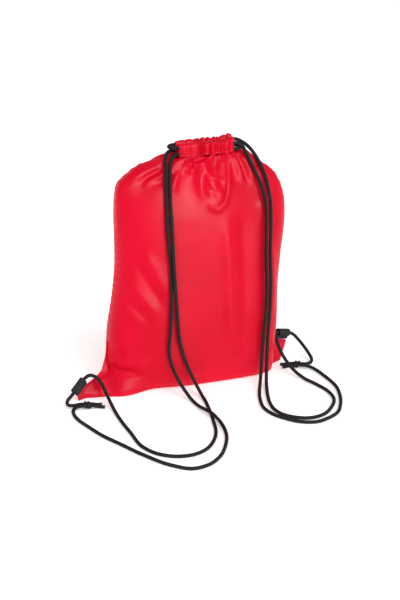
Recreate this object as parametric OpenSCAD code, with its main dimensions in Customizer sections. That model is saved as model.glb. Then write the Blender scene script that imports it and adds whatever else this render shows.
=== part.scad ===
// A stuffed drawstring backpack: two cloth panels, a gathered neck with a hem tunnel
// on each panel, two drawcords that double as shoulder straps, and a webbing loop at
// each bottom corner. +X is the bag's right as seen from the front, the front faces
// -Y, +Z is up, and the origin is the middle of the base on the floor.

/* [Body] */
// Width of the stuffed body between its side seams
body_w = 268; // [236:1:322]
// Height of the panels, from the floor to the foot of the hem tunnels
body_h = 370; // [308:1:444]
// How far the front stands out from the side seams
front_bulge = 56; // [46:1:68]
// How far the back stands out from the side seams
back_bulge = 52; // [43:1:63]
// Thickness of the panel walls
wall = 2; // [1.5:0.1:2.5]
// Thickness of each layer of the flattened corners and of the seam ridge
ear_t = 1.2; // [1:0.1:1.6]
// How far the seam ridge stands out from the body
ridge = 2.5; // [2:0.1:4]
// How far the left end of the base is drawn towards the front
left_pull = 30; // [24:0.5:33]

/* [Neck] */
// Width of the gathered neck
neck_w = 88; // [73:1:106]
// Distance of the neck's middle to the right of the base's middle
neck_shift = 12; // [-10:1:16]
// Height of the hem tunnels
tunnel_h = 19; // [18:0.5:23]
// Thickness of a hem tunnel, front to back
tunnel_t = 10; // [9:0.5:12]
// Wall of a hem tunnel
tunnel_wall = 1.5; // [1:0.1:1.8]
// Open mouth between the front and back tunnels
mouth_gap = 9; // [7.5:0.5:11]

/* [Seams] */
// Width of the sewn allowance inside the bag
seam_w = 8; // [6:0.5:10]
// Thickness of the two overlocked layers
seam_t = 1.2; // [1:0.1:1.5]
// Length of one stitch
stitch_l = 3.2; // [2.6:0.1:4]
// Gap between two stitches
stitch_gap = 1.8; // [1.4:0.1:2.4]
// Thickness of the sewing thread
thread_d = 0.6; // [0.5:0.1:0.8]

/* [Corner loops] */
// Width of the webbing
webbing_w = 25; // [20:1:30]
// Thickness of the webbing
webbing_t = 1.4; // [1.1:0.1:1.7]
// Inside radius of the loop that the cord runs through
loop_r = 4.7; // [4:0.1:5]
// How far the loop stands out from its sewn edge
loop_out = 17; // [15:0.5:20]
// Turn of the left corner towards the front, degrees
left_ear_turn = 28; // [10:1:45]
// Turn of the right corner towards the back, degrees
right_ear_turn = 24; // [10:1:45]
// Slope of the left loop's sewn edge, degrees
left_edge_slope = 36; // [30:1:42]
// Slope of the right loop's sewn edge, degrees
right_edge_slope = 18; // [12:1:24]

/* [Cords] */
// Diameter of the round braided cords
cord_d = 5.5; // [4:0.1:5.5]
// Diameter of a knot
knot_d = 12; // [11:0.5:14]
// Length of a knot
knot_l = 14; // [12:0.5:16]
// Length of the longer loose end past a knot
tail_l = 18; // [12:1:22]
// Length of the shorter loose end past a knot
short_tail_l = 14; // [10:1:20]
// Length of a heat-sealed cord end
tip_l = 2.5; // [2:0.1:4]

/* [Hidden] */
$fn = 48;
clear = 0.3;
half_w = body_w / 2;
cloth = "crimson";
black = "#1c1c1e";

// The body's outline, bottom to top: height, left and right half widths, front and
// back depths, each as a share of its driving size, and how square the section is in
// its left half and in its right half. Under 2 the half tapers towards its seam.
body_shape = [
    [0.00, 1.10, 0.92, 0.61, 0.65, 1.5, 4.5],
    [0.03, 1.10, 0.92, 0.72, 0.77, 1.6, 4.0],
    [0.08, 1.10, 0.92, 0.84, 0.88, 1.9, 3.4],
    [0.16, 1.09, 0.94, 0.93, 0.96, 2.4, 3.0],
    [0.27, 1.07, 0.95, 0.98, 1.00, 2.6, 2.8],
    [0.40, 1.02, 0.96, 1.00, 1.00, 2.6, 2.6],
    [0.54, 0.98, 0.99, 0.98, 0.98, 2.6, 2.6],
    [0.68, 0.97, 1.03, 0.94, 0.94, 2.6, 2.6],
    [0.78, 0.97, 1.02, 0.88, 0.87, 2.6, 2.6],
    [0.85, 0.96, 0.96, 0.79, 0.77, 2.6, 2.6],
    [0.905, 0.93, 0.87, 0.68, 0.66, 2.6, 2.6],
    [0.945, 0.81, 0.73, 0.55, 0.54, 2.6, 2.6],
    [0.975, 0.69, 0.63, 0.44, 0.44, 2.7, 2.7],
    [0.992, 0.52, 0.54, 0.33, 0.34, 3.0, 3.0]];
neck_half = neck_w / 2 + tunnel_wall;
neck_depth = mouth_gap / 2 + tunnel_t;
neck_section = [body_h, neck_half - neck_shift, neck_half + neck_shift,
    neck_depth, neck_depth, 4.0, 4.0];
sections = concat([for (s = body_shape) [s[0] * body_h, s[1] * half_w, s[2] * half_w,
    s[3] * front_bulge, s[4] * back_bulge, s[5], s[6]]], [neck_section]);
row_heights = concat([0, 9, 20, 28, 36, 48],
    [for (share = [0.16, 0.22, 0.28, 0.34, 0.41, 0.48, 0.55, 0.62, 0.69, 0.75, 0.80,
        0.845, 0.88, 0.91, 0.935, 0.957, 0.975, 0.988, 1]) share * body_h]);
columns = 22;

// How much of each flattened corner stays flat inside its sewn edge, in its lowest rows.
sewn_flat = 13;
sewn_rows = 3;

// How far the pull at the left end of the base reaches along it, and up.
pull_reach = 75;
pull_top = 48;

// The outlines of the flattened corners: distance out from the body, and height.
left_edge_low = [62.5, 9];
left_edge_high = left_edge_low + webbing_w * [-cos(left_edge_slope), sin(left_edge_slope)];
left_ear = [[60, 0], left_edge_low, left_edge_high, [27, 27], [12, 34], [6, 47]];
right_edge_out = [36.5, 34];
right_edge_in = right_edge_out + webbing_w * [-cos(right_edge_slope), sin(right_edge_slope)];
right_ear = [[23, 0], [26, 9], [31, 20], right_edge_out, right_edge_in, [4, 46]];

bead_r = webbing_t + clear;
hinge_out = bead_r + clear;
loop_mid = loop_out - hinge_out - loop_r - webbing_t;

lower_lane = 375;
upper_lane = 384;
tunnel_mid = 9.5;
rest = 2.8;
side_by_side = 2.8;
left_knot_at = [-200, -55, 6];
left_knot_turn = -10;
right_knot_at = [166, -27, 6];
right_knot_turn = 156;

// The left cord, from its knot along the back strand, round both tunnels in the
// lower lane, down the front strand, through the corner loop and back to the knot.
left_route = [
    knot_port(left_knot_at, left_knot_turn, -1), knot_port(left_knot_at, left_knot_turn, -1, 5),
    [-212.5, -58, 5], [-217.5, -64, 4], [-219, -73, 3], [-217, -91, rest],
    [-207, -120, rest], [-195, -150, rest], [-176, -184, rest], [-152, -226, rest],
    [-123, -265, rest], [-97, -283, rest], [-74, -280, rest], [-50, -262, rest],
    [-32, -234, rest], [-21, -206, 3], [-17.5, -180, 4.2], [-19, -162, 6.4],
    [-23, -145, 8.4], [-27.5, -127, 6.4], [-32, -108, 4], [-36, -88, 4.2],
    [-41, -70, 11], [-49, -60, 26], [-57, -57.5, 46],
    [-64, -59.5, 75], [-62, -60.5, 110], [-59, -60, 165], [-59, -58, 209],
    [-62.5, -54, 270], [-62, -46, 322], [-60.5, -38, 343], [-57, -28.5, 359.5],
    [-54, -17, 369.5], [-49, -4, 374.5], [-41.5, 6.5, lower_lane],
    [-34, tunnel_mid, lower_lane], [-28, tunnel_mid, lower_lane],
    [12, tunnel_mid, lower_lane], [52, tunnel_mid, lower_lane],
    [58, tunnel_mid, lower_lane], [64.7, 6.7, lower_lane], [67.5, 0, lower_lane],
    [64.7, -6.7, lower_lane], [58, -tunnel_mid, lower_lane],
    [52, -tunnel_mid, lower_lane], [12, -tunnel_mid, lower_lane],
    [-28, -tunnel_mid, lower_lane], [-33, -tunnel_mid, lower_lane], [-40, -12.5, 374],
    [-46, -19.5, 369.5], [-50.5, -28.5, 361], [-54, -39, 343],
    [-56, -46.5, 322], [-56, -55, 270], [-56, -63.8, 209], [-53, -63, 165],
    [-50, -61, 125], [-47, -60, 94], [-39, -58.5, 62], [-29, -59, 34], [-21, -65, 15],
    [-17.5, -77, 5.5], [-17, -94, 3.2], [-19, -115, rest], [-22, -138, rest],
    [-26, -162, rest], [-33, -193, rest], [-45, -217, rest], [-62, -236, rest],
    [-82, -245, rest], [-105, -244, rest], [-131, -229, rest], [-147, -203, rest],
    [-153, -155, rest], [-157, -110, 3], [-158, -80, 4.2], [-159, -60, 8.5],
    [-161.5, -46, 17], [-165.5, -35, 28], [-172, -26.5, 36], [-180.5, -21.5, 37.7],
    [-190, -23, 33], [-208, -32.5, 18], [-215, -36.3, 12.8], [-221.2, -41.3, 9],
    [-222, -47.8, 6.6], [-215.5, -51.6, 6], knot_port(left_knot_at, left_knot_turn, 1, 5),
    knot_port(left_knot_at, left_knot_turn, 1)];

// The right cord, from its knot round the outer floor loop, up the front strand, round
// both tunnels in the upper lane, down the back strand, through the corner loop and
// back to the knot.
right_route = [
    knot_port(right_knot_at, right_knot_turn, 1),
    knot_port(right_knot_at, right_knot_turn, 1, 5),
    [178, -38.5, 5], [184, -50, 4], [188, -66, 3.2], [191.5, -86, rest],
    [193, -108, rest], [188, -136, rest], [176, -168, rest], [162, -190, rest],
    [143, -202, rest], [121, -208, rest], [99, -201, rest], [80, -184, rest],
    [67, -165, rest], [61, -142, rest], [64, -118, 3], [72, -92, 4.2], [79, -75, 8.5],
    [84.5, -63, 18], [88, -56, 34],
    [91, -54, 75], [95, -53, 120], [96, -53, 165], [93.5, -53.5, 210],
    [93.5, -52, 256], [93.5, -48.5, 292], [90.5, -43, 314], [86, -37.5, 331],
    [80.5, -31.5, 345], [76, -25.5, 357], [72, -19, 367.5], [66.5, -12.2, 379.5],
    [59, -9.8, 383.4], [52, -tunnel_mid, upper_lane], [46, -tunnel_mid, upper_lane],
    [12, -tunnel_mid, upper_lane], [-28, -tunnel_mid, upper_lane],
    [-34, -tunnel_mid, upper_lane], [-40.7, -6.7, upper_lane], [-43.5, 0, upper_lane],
    [-40.7, 6.7, upper_lane], [-34, tunnel_mid, upper_lane],
    [-28, tunnel_mid, upper_lane], [12, tunnel_mid, upper_lane],
    [52, tunnel_mid, upper_lane], [58, tunnel_mid, upper_lane],
    [66, 8, 383], [74, 3.5, 379], [81.5, -3.5, 372.5], [88.3, -12.5, 362],
    [93.4, -21.2, 350], [97.2, -30, 337], [100, -39, 318], [101.5, -45, 300],
    [102, -49, 262], [101, -51, 215], [103, -51, 165], [102, -51.5, 120],
    [99.5, -51.5, 75], [98, -53, 40], [96, -57.5, 20], [92, -68, 8.5], [87, -84, 4],
    [80, -108, rest], [75, -132, rest], [74.5, -152, rest], [82, -172, rest],
    [97, -186, rest], [119, -194, rest], [140, -189, rest], [160, -171, rest],
    [174, -146, rest], [175, -124, rest], [166, -94, 3], [154, -70, 4.4],
    [146, -50, 9], [140, -35, 17], [135, -23, 27.5], [132, -15, 38],
    [130.8, -8, 48], [132.3, -0.5, 54.3], [138.1, 6.6, 52.5], [159.6, 16.1, 44.5], [169.8, 18.4, 38.5],
    [178, 15.5, 29], [185, 8, 19], [189.5, -3, 10.5], [189, -16, 6.6],
    [182, -26, 6], knot_port(right_knot_at, right_knot_turn, -1, 7),
    knot_port(right_knot_at, right_knot_turn, -1)];

// ---- shape of the cloth -------------------------------------------------------------

// Where the flattened corners leave the body, and the direction out along each.
left_root = [-1.1 * half_w, 0];
right_root = [0.92 * half_w, 0];
left_out = [-cos(left_ear_turn), -sin(left_ear_turn)];
right_out = [cos(right_ear_turn), sin(right_ear_turn)];

function section_index(z, i = 0) =
    i >= len(sections) - 2 || sections[i + 1][0] > z ? i : section_index(z, i + 1);

// The point at share t of the smooth line from b to c, with a before and d after.
function eased(a, b, c, d, t) = 0.5 * (2 * b + (c - a) * t
    + (2 * a - 5 * b + 4 * c - d) * t * t + (3 * b - a - 3 * c + d) * t * t * t);

// The body's section at height z: left, right, front, back, and both squarenesses.
function section(z) = let (i = section_index(z), last = len(sections) - 1,
    t = (z - sections[i][0]) / (sections[i + 1][0] - sections[i][0]),
    s = eased(sections[max(i - 1, 0)], sections[i], sections[i + 1],
        sections[min(i + 2, last)], t))
    [s[1], s[2], s[3], s[4], s[5], s[6]];

// A point near the free edge of the cloth in row i, on a flattened corner or on the seam
// ridge above it: the edge itself, or where the flat part that carries the stitches ends.
function edge_point(ear, root, out, seam_x, i, at_edge) =
    let (reach = i < len(ear) ? ear[i][0] : ridge,
        away = at_edge ? reach : i < sewn_rows ? reach - sewn_flat : 0.8 * reach,
        from = i < len(ear) ? root : [seam_x, 0], z = i < len(ear) ? ear[i][1] : row_heights[i])
    [each from + out * away, z];

// How far the plane of the seams is drawn towards the front at x and height z.
function drawn(x, z) = let (away = max((x - left_root[0]) / pull_reach, 0), up = z / pull_top)
    away >= 1 || up >= 1 ? 0 : -left_pull * pow(1 - away * away, 2) * pow(1 - up * up, 2);

// Half of a section, from the left seam to the right seam, as points of [x, depth].
function half_section(s, depth, inset) = let (mid = (s[1] - s[0]) / 2,
    half = (s[1] + s[0]) / 2 - inset)
    [for (k = [0 : columns]) let (a = 180 - 180 * k / columns,
        square = a > 90 ? s[4] : s[5])
        [mid + half * sign(cos(a)) * pow(abs(cos(a)), 2 / square),
            depth * pow(sin(a), 2 / square)]];

// One row of a panel, from seam edge to seam edge. facing is -1 for the front panel and
// 1 for the back one. inset is 0 on the outer face and the wall on the inner face, and
// layer is how far the face stands off the plane where the two panels meet.
function panel_row(i, facing, inset, layer, lift) = let (s = section(row_heights[i]),
    depth = (facing < 0 ? s[2] : s[3]) - inset - layer,
    left = [for (at_edge = [true, false]) edge_point(left_ear, left_root, left_out, -s[0], i, at_edge)
        + facing * layer * [left_out[1], -left_out[0], 0]],
    right = [for (at_edge = [false, true]) edge_point(right_ear, right_root, right_out, s[1], i, at_edge)
        + facing * layer * [-right_out[1], right_out[0], 0]],
    row = [each left, for (p = half_section(s, depth, inset))
        [p[0], facing * (p[1] + layer) + drawn(p[0], row_heights[i]), row_heights[i]], each right])
    [for (p = row) [p[0], p[1], max(p[2], lift)]];

// The same row drawn in to the seam line, at height z.
function seam_row(row, z) = let (last = len(row) - 1)
    [for (k = [0 : last]) let (x = row[k][0])
        [x, k < 2 || k > last - 2 ? row[k][1] : drawn(x, 0), z]];

// Two triangles for each cell of a grid of points.
function grid_faces(rows, n, start, flip) = [for (r = [0 : rows - 2], k = [0 : n - 2])
    let (a = start + r * n + k, b = a + 1, c = b + n, d = a + n)
    each flip ? [[a, b, c], [a, c, d]] : [[a, c, b], [a, d, c]]];

// Faces that join the edge of one grid to the same edge of the grid that lies past it.
// The quads from turned[0] up to turned[1] are cut along their other diagonal.
function rim_faces(edge, past, flip, turned) = [for (k = [0 : len(edge) - 1])
    let (a = edge[k], b = edge[(k + 1) % len(edge)], other = k >= turned[0] && k < turned[1],
        quad = other ? [[a, b, a + past], [b, b + past, a + past]]
            : [[a, b, b + past], [a, b + past, a + past]])
    each flip ? [for (t = quad) [t[0], t[2], t[1]]] : quad];

module panel(facing) {
    rows = len(row_heights) + 1;
    n = columns + 5;
    inner_foot = wall + 0.5;
    outer = [for (i = [0 : rows - 2]) panel_row(i, facing, 0, ear_t, 0)];
    inner = [for (i = [0 : rows - 2]) panel_row(i, facing, wall, 0, inner_foot)];
    seam_line = panel_row(0, facing, 0, 0, 0);
    points = [each seam_row(seam_line, 0), for (row = outer) each row,
        each seam_row(inner[0], wall), for (row = inner) each row];
    edge = [for (k = [0 : n - 1]) k, for (r = [1 : rows - 1]) r * n + n - 1,
        for (k = [n - 2 : -1 : 0]) (rows - 1) * n + k, for (r = [rows - 2 : -1 : 1]) r * n];
    flip = facing > 0;
    polyhedron(points, concat(grid_faces(rows, n, 0, flip),
        grid_faces(rows, n, rows * n, !flip),
        rim_faces(edge, rows * n, flip, [n - 1, n + rows - 2])));
}

// ---- shape of the cords -------------------------------------------------------------

function unit(v) = v / norm(v);

// Where a cord meets a knot, to one side of its middle, or a distance out before it.
function knot_port(at, turn, side, out = 0) =
    at + side * side_by_side * [-sin(turn), cos(turn), 0] - out * [cos(turn), sin(turn), 0];

// The direction of a route at point i, which leans towards the nearer neighbour.
function heading(route, i) = let (last = len(route) - 1)
    i == 0 ? unit(route[1] - route[0])
    : i == last ? unit(route[last] - route[last - 1])
    : let (back = route[i] - route[i - 1], on = route[i + 1] - route[i])
        unit(unit(back) * norm(on) + unit(on) * norm(back));

// The point at share t of the smooth line from point i of a route to the next one.
function along(route, i, t) = let (a = route[i], b = route[i + 1], l = norm(b - a))
    (2 * t * t * t - 3 * t * t + 1) * a + (3 * t * t - 2 * t * t * t) * b
    + (t * t * t - 2 * t * t + t) * l * heading(route, i)
    + (t * t * t - t * t) * l * heading(route, i + 1);

// The route's own points, with one more in the middle of each long step.
function rings_along(route, long_step) = [for (i = [0 : len(route) - 2])
    each norm(route[i + 1] - route[i]) > long_step
        ? [route[i], along(route, i, 0.5)] : [route[i]], route[len(route) - 1]];

// The part of v that is square to the direction t.
function square_to(v, t) = unit(v - (v * t) * t);

// A solid through a list of rings of points, each turning right-handed about the way on.
module swept(rings) {
    sides = len(rings[0]);
    last = len(rings) - 1;
    polyhedron([for (ring = rings) each ring], concat(
        [for (i = [0 : last - 1], k = [0 : sides - 1])
            let (a = i * sides + k, b = i * sides + (k + 1) % sides)
            each [[a, b + sides, b], [a, a + sides, b + sides]]],
        [[for (k = [0 : sides - 1]) k], [for (k = [sides - 1 : -1 : 0]) last * sides + k]]));
}

module tube(route, diameter, sides = 8, long_step = 32) {
    mids = rings_along(route, long_step);
    last = len(mids) - 1;
    ways = [for (i = [0 : last]) heading(mids, i)];
    normals = [for (i = 0, n = square_to([0, 0, 1], ways[0]); i <= last;
        i = i + 1, n = square_to(n, ways[min(i, last)])) n];
    swept([for (i = [0 : last]) [for (k = [0 : sides - 1]) let (a = 360 * k / sides)
        mids[i] + diameter / 2 * (cos(a) * normals[i] + sin(a) * cross(ways[i], normals[i]))]]);
}

// A knot's barrel along +X from its cord end, with three humps of wrapped cord.
module knot() {
    hump_r = 2.9;
    color(black) rotate([0, 90, 0]) rotate_extrude() intersection() {
        union() {
            square([knot_d / 2 - hump_r, knot_l]);
            for (k = [0 : 2]) translate([knot_d / 2 - hump_r, knot_l * (k + 0.5) / 3])
                circle(hump_r);
        }
        square([knot_d, knot_l]);
    }
}

// The two loose ends past a knot, side by side, and the sealed tips on them.
module loose_end(side, length) {
    translate([knot_l, side * side_by_side, 0]) rotate([0, 90, 0]) color(black)
        cylinder(d = cord_d, h = length);
}

module cord_tip(side, length) {
    translate([knot_l + length, side * side_by_side, 0]) rotate([0, 90, 0]) color(black)
        cylinder(d = cord_d, h = tip_l);
}

module knot_with_ends() {
    knot();
    loose_end(1, tail_l);
    loose_end(-1, short_tail_l);
}

module both_tips() {
    cord_tip(1, tail_l);
    cord_tip(-1, short_tail_l);
}

module at_left_knot() { translate(left_knot_at) rotate([0, 0, left_knot_turn]) children(); }
module at_right_knot() { translate(right_knot_at) rotate([0, 0, right_knot_turn]) children(); }

// ---- neck ---------------------------------------------------------------------------

module hem_tunnel(facing) {
    outer_face = mouth_gap / 2 + tunnel_t / 2;
    color(cloth) translate([neck_shift - neck_w / 2, facing * outer_face, body_h])
        rotate([90, 0, 90]) linear_extrude(neck_w) difference() {
            tunnel_outline(tunnel_t, tunnel_h, 0);
            tunnel_outline(tunnel_t - 2 * tunnel_wall, tunnel_h - 2 * tunnel_wall, tunnel_wall);
        }
}

// An upright outline with a round top, standing at height foot.
module tunnel_outline(t, h, foot) {
    translate([-t / 2, foot]) square([t, h - t / 2]);
    translate([0, foot + h - t / 2]) circle(t / 2);
}

module stitch_row(length) {
    count = floor((length - stitch_l) / (stitch_l + stitch_gap)) + 1;
    step = (length - stitch_l) / (count - 1);
    for (k = [0 : count - 1]) translate([k * step, 0, 0]) cube([stitch_l, thread_d, thread_d]);
}

module hem_stitching(facing) {
    face = mouth_gap / 2 + tunnel_t + (facing < 0 ? thread_d : 0);
    color(cloth) translate([neck_shift - neck_w / 2, facing * face, body_h + 2])
        stitch_row(neck_w);
}

// ---- seams inside the bag -----------------------------------------------------------

// A point of a seam strip: x, height, and which face of the strip.
function seam_point(x, z, face) = [x, drawn(x, z) + face * seam_t / 2, z];

module side_seam(side) {
    top = body_h * 0.94;
    foot = wall + seam_w + 2;
    heights = [for (z = row_heights) if (z > foot && z < top) z];
    color(cloth) swept([for (z = heights) let (s = section(z),
        edge = side < 0 ? -s[0] + wall + 2 * clear : s[1] - wall - 2 * clear,
        inside = edge - side * seam_w, low = min(edge, inside), high = max(edge, inside))
        [seam_point(low, z, -1), seam_point(high, z, -1),
            seam_point(high, z, 1), seam_point(low, z, 1)]]);
}

module bottom_seam() {
    s = section(0);
    from = wall + 3;
    steps = 24;
    foot = wall + clear;
    color(cloth) swept([for (k = [0 : steps])
        let (x = from - s[0] + (s[0] + s[1] - 2 * from) * k / steps)
        [seam_point(x, foot, -1), seam_point(x, foot, 1),
            seam_point(x, foot + seam_w, 1), seam_point(x, foot + seam_w, -1)]]);
}

// ---- corner loops -------------------------------------------------------------------

// Places its children with the sewn edge along X, the loop up Z, and the bag's front
// towards -Y.
module at_left_edge() {
    mid = (left_edge_low + left_edge_high) / 2;
    translate([each left_root, 0]) rotate([0, 0, left_ear_turn])
        translate([-mid[0], 0, mid[1]]) rotate([0, -left_edge_slope, 0]) children();
}

module at_right_edge() {
    mid = (right_edge_out + right_edge_in) / 2;
    translate([each right_root, 0]) rotate([0, 0, right_ear_turn])
        translate([mid[0], 0, mid[1]]) rotate([0, right_edge_slope, 0]) children();
}

// Webbing folded round the cord, with a rolled root that turns in the corner's edge.
module corner_loop() {
    color(black) translate([-webbing_w / 2, 0, hinge_out]) rotate([90, 0, 90])
        linear_extrude(webbing_w) difference() {
            union() {
                circle(bead_r);
                translate([-webbing_t, 0]) square([2 * webbing_t, loop_mid]);
                translate([0, loop_mid]) circle(loop_r + webbing_t);
            }
            translate([0, loop_mid]) circle(loop_r);
        }
}

// Two rows of stitches on each face of the corner, just inside its sewn edge.
module loop_stitching() {
    edge_margin = 1;
    color(black) for (face = [-ear_t - thread_d, ear_t], row = [1, 2])
        translate([edge_margin - webbing_w / 2, face, -2.5 * row])
            stitch_row(webbing_w - 2 * edge_margin);
}

// ---- nodes --------------------------------------------------------------------------

color(cloth) panel(-1);  // front_panel
color(cloth) panel(1);  // back_panel
hem_tunnel(-1);  // front_hem_tunnel
hem_tunnel(1);  // back_hem_tunnel
hem_stitching(-1);  // front_hem_stitching
hem_stitching(1);  // back_hem_stitching
side_seam(-1);  // left_side_seam
side_seam(1);  // right_side_seam
bottom_seam();
at_left_edge() corner_loop();  // left_corner_loop
at_right_edge() corner_loop();  // right_corner_loop
at_left_edge() loop_stitching();  // left_loop_stitching
at_right_edge() loop_stitching();  // right_loop_stitching
color(black) tube(left_route, cord_d);  // left_drawcord
color(black) tube(right_route, cord_d);  // right_drawcord
at_left_knot() knot_with_ends();  // left_knot
at_right_knot() knot_with_ends();  // right_knot
at_left_knot() both_tips();  // left_cord_tips
at_right_knot() both_tips();  // right_cord_tips
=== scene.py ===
"""Drawstring backpack: a stuffed red cloth bag, gathered at its neck on two black cords.

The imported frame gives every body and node. This script builds what shows: the cloth
panels with their gathers and folds, the hem sleeves round the cords, the seams and
stitches, the webbing loops at the bottom corners, and the braided cords with their knots.
"""

from __future__ import annotations

import logging
import math
from dataclasses import dataclass, field
from enum import Enum

import bpy
import numpy as np
from mathutils import Matrix, Vector

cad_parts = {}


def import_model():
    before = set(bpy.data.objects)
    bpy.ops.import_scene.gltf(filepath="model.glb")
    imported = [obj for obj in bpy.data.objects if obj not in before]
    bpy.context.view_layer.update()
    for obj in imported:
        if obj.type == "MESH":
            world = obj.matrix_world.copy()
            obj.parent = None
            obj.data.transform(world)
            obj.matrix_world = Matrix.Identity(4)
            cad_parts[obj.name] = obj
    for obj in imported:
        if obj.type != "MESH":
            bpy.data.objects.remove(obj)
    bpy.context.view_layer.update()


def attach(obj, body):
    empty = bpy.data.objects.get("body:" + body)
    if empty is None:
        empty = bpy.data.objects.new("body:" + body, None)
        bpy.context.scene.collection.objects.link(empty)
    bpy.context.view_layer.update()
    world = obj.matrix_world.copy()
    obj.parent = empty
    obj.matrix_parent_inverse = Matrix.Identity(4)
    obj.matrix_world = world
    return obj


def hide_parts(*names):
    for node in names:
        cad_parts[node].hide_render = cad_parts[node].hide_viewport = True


log = logging.getLogger("drawstring_backpack")

Point = tuple[float, float, float]
Outline = list[tuple[float, float]]


class Facing(Enum):
    """Which of the bag's two panels a piece belongs to, as the sign of its y side."""

    FRONT = -1
    BACK = 1


class Side(Enum):
    """Which end of the bag a piece is at, as the sign of its x side."""

    LEFT = -1
    RIGHT = 1


# ---- plain helpers ------------------------------------------------------------------


def deselect() -> None:
    """Leaves nothing selected."""
    for thing in bpy.context.selected_objects:
        thing.select_set(False)


def activate(piece: bpy.types.Object) -> None:
    """Selects one piece only and makes it the active one."""
    deselect()
    piece.select_set(True)
    bpy.context.view_layer.objects.active = piece


def settle(piece: bpy.types.Object) -> None:
    """Applies the object's own place, turn and size to its mesh."""
    activate(piece)
    bpy.ops.object.transform_apply(location=True, rotation=True, scale=True)


def apply_modifiers(piece: bpy.types.Object) -> None:
    """Applies every modifier of a piece, first to last."""
    activate(piece)
    for modifier in list(piece.modifiers):
        bpy.ops.object.modifier_apply(modifier=modifier.name)


def mesh_piece(
    name: str,
    points: np.ndarray,
    faces: list[tuple[int, ...]],
    uv: np.ndarray | None = None,
) -> bpy.types.Object:
    """Makes a smooth mesh object from points and faces.

    Args:
        name: The piece's name.
        points: Its vertices, one row each, in metres.
        faces: Its faces as vertex numbers.
        uv: One pair per vertex for the UV map, or one per face corner.

    Returns:
        The new object, linked to the scene.
    """
    mesh = bpy.data.meshes.new(name)
    mesh.from_pydata([tuple(p) for p in np.asarray(points, float).tolist()], [], faces)
    mesh.update()
    if uv is not None:
        layer = mesh.uv_layers.new(name="UVMap")
        corner = np.empty(len(mesh.loops), dtype=np.int32)
        mesh.loops.foreach_get("vertex_index", corner)
        flat = uv[corner] if len(uv) == len(points) else uv
        layer.data.foreach_set("uv", np.asarray(flat, dtype=np.float32).ravel())
    mesh.polygons.foreach_set("use_smooth", [True] * len(mesh.polygons))
    piece = bpy.data.objects.new(name, mesh)
    bpy.context.scene.collection.objects.link(piece)
    return piece


def grid_quads(rows: int, columns: int, flip: bool) -> list[tuple[int, ...]]:
    """Faces of a grid of points stored row by row.

    Args:
        rows: Number of point rows.
        columns: Number of points in a row.
        flip: True turns the faces over.

    Returns:
        Four vertex numbers for each face.
    """
    quads = []
    for r in range(rows - 1):
        for c in range(columns - 1):
            a = r * columns + c
            quad = (a, a + 1, a + columns + 1, a + columns)
            quads.append(quad[::-1] if flip else quad)
    return quads


def run_along(line: np.ndarray) -> np.ndarray:
    """Distance along a line at each of its points, from 0."""
    return np.concatenate([[0.0], np.cumsum(np.linalg.norm(np.diff(line, axis=0), axis=1))])


def points_at(line: np.ndarray, run: np.ndarray, spots: np.ndarray | float) -> np.ndarray:
    """The line's points at given distances or numbers.

    Args:
        line: Points, one row each.
        run: The distance or number of each point.
        spots: Where new points are wanted.

    Returns:
        One point for each spot.
    """
    return np.stack([np.interp(spots, run, line[:, k]) for k in range(line.shape[1])], axis=-1)


def uv_grid(across: np.ndarray, up: np.ndarray) -> np.ndarray:
    """A UV pair for every point of a grid stored row by row."""
    return np.stack(np.broadcast_arrays(across[None, :], up[:, None]), axis=2).reshape(-1, 2)


def thicken(piece: bpy.types.Object, thickness: float, offset: float = 0.0, rounds: int = 0) -> None:
    """Gives a sheet its thickness, after smoothing it.

    Args:
        piece: The sheet.
        thickness: In metres.
        offset: -1 puts it all on the inner side, 0 half on each.
        rounds: Smoothing rounds before it.
    """
    if rounds:
        smooth = piece.modifiers.new("smooth", "SUBSURF")
        smooth.levels = smooth.render_levels = rounds
    thick = piece.modifiers.new("cloth", "SOLIDIFY")
    thick.thickness, thick.offset = thickness, offset
    apply_modifiers(piece)


def smooth_step(value: np.ndarray | float) -> np.ndarray:
    """Eases 0 to 1 with a level start and end."""
    t = np.clip(value, 0.0, 1.0)
    return t * t * (3.0 - 2.0 * t)


def soft_noise(x: np.ndarray, y: np.ndarray, size: float, seed: int) -> np.ndarray:
    """Smooth noise from a few crossing waves, the same on every run.

    Args:
        x: First coordinate, in metres.
        y: Second coordinate, in metres.
        size: Rough size of one lump, in metres.
        seed: Picks the waves.

    Returns:
        Values from about -1 to 1.
    """
    rng = np.random.default_rng(seed)
    total = np.zeros(np.broadcast(x, y).shape)
    for _ in range(7):
        turn, phase = rng.uniform(0.0, math.tau, 2)
        rate = math.tau / (size * rng.uniform(1.2, 2.6))
        total += np.sin(rate * (x * math.cos(turn) + y * math.sin(turn)) + phase)
    return total / 3.2


# ---- finishes -----------------------------------------------------------------------


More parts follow.
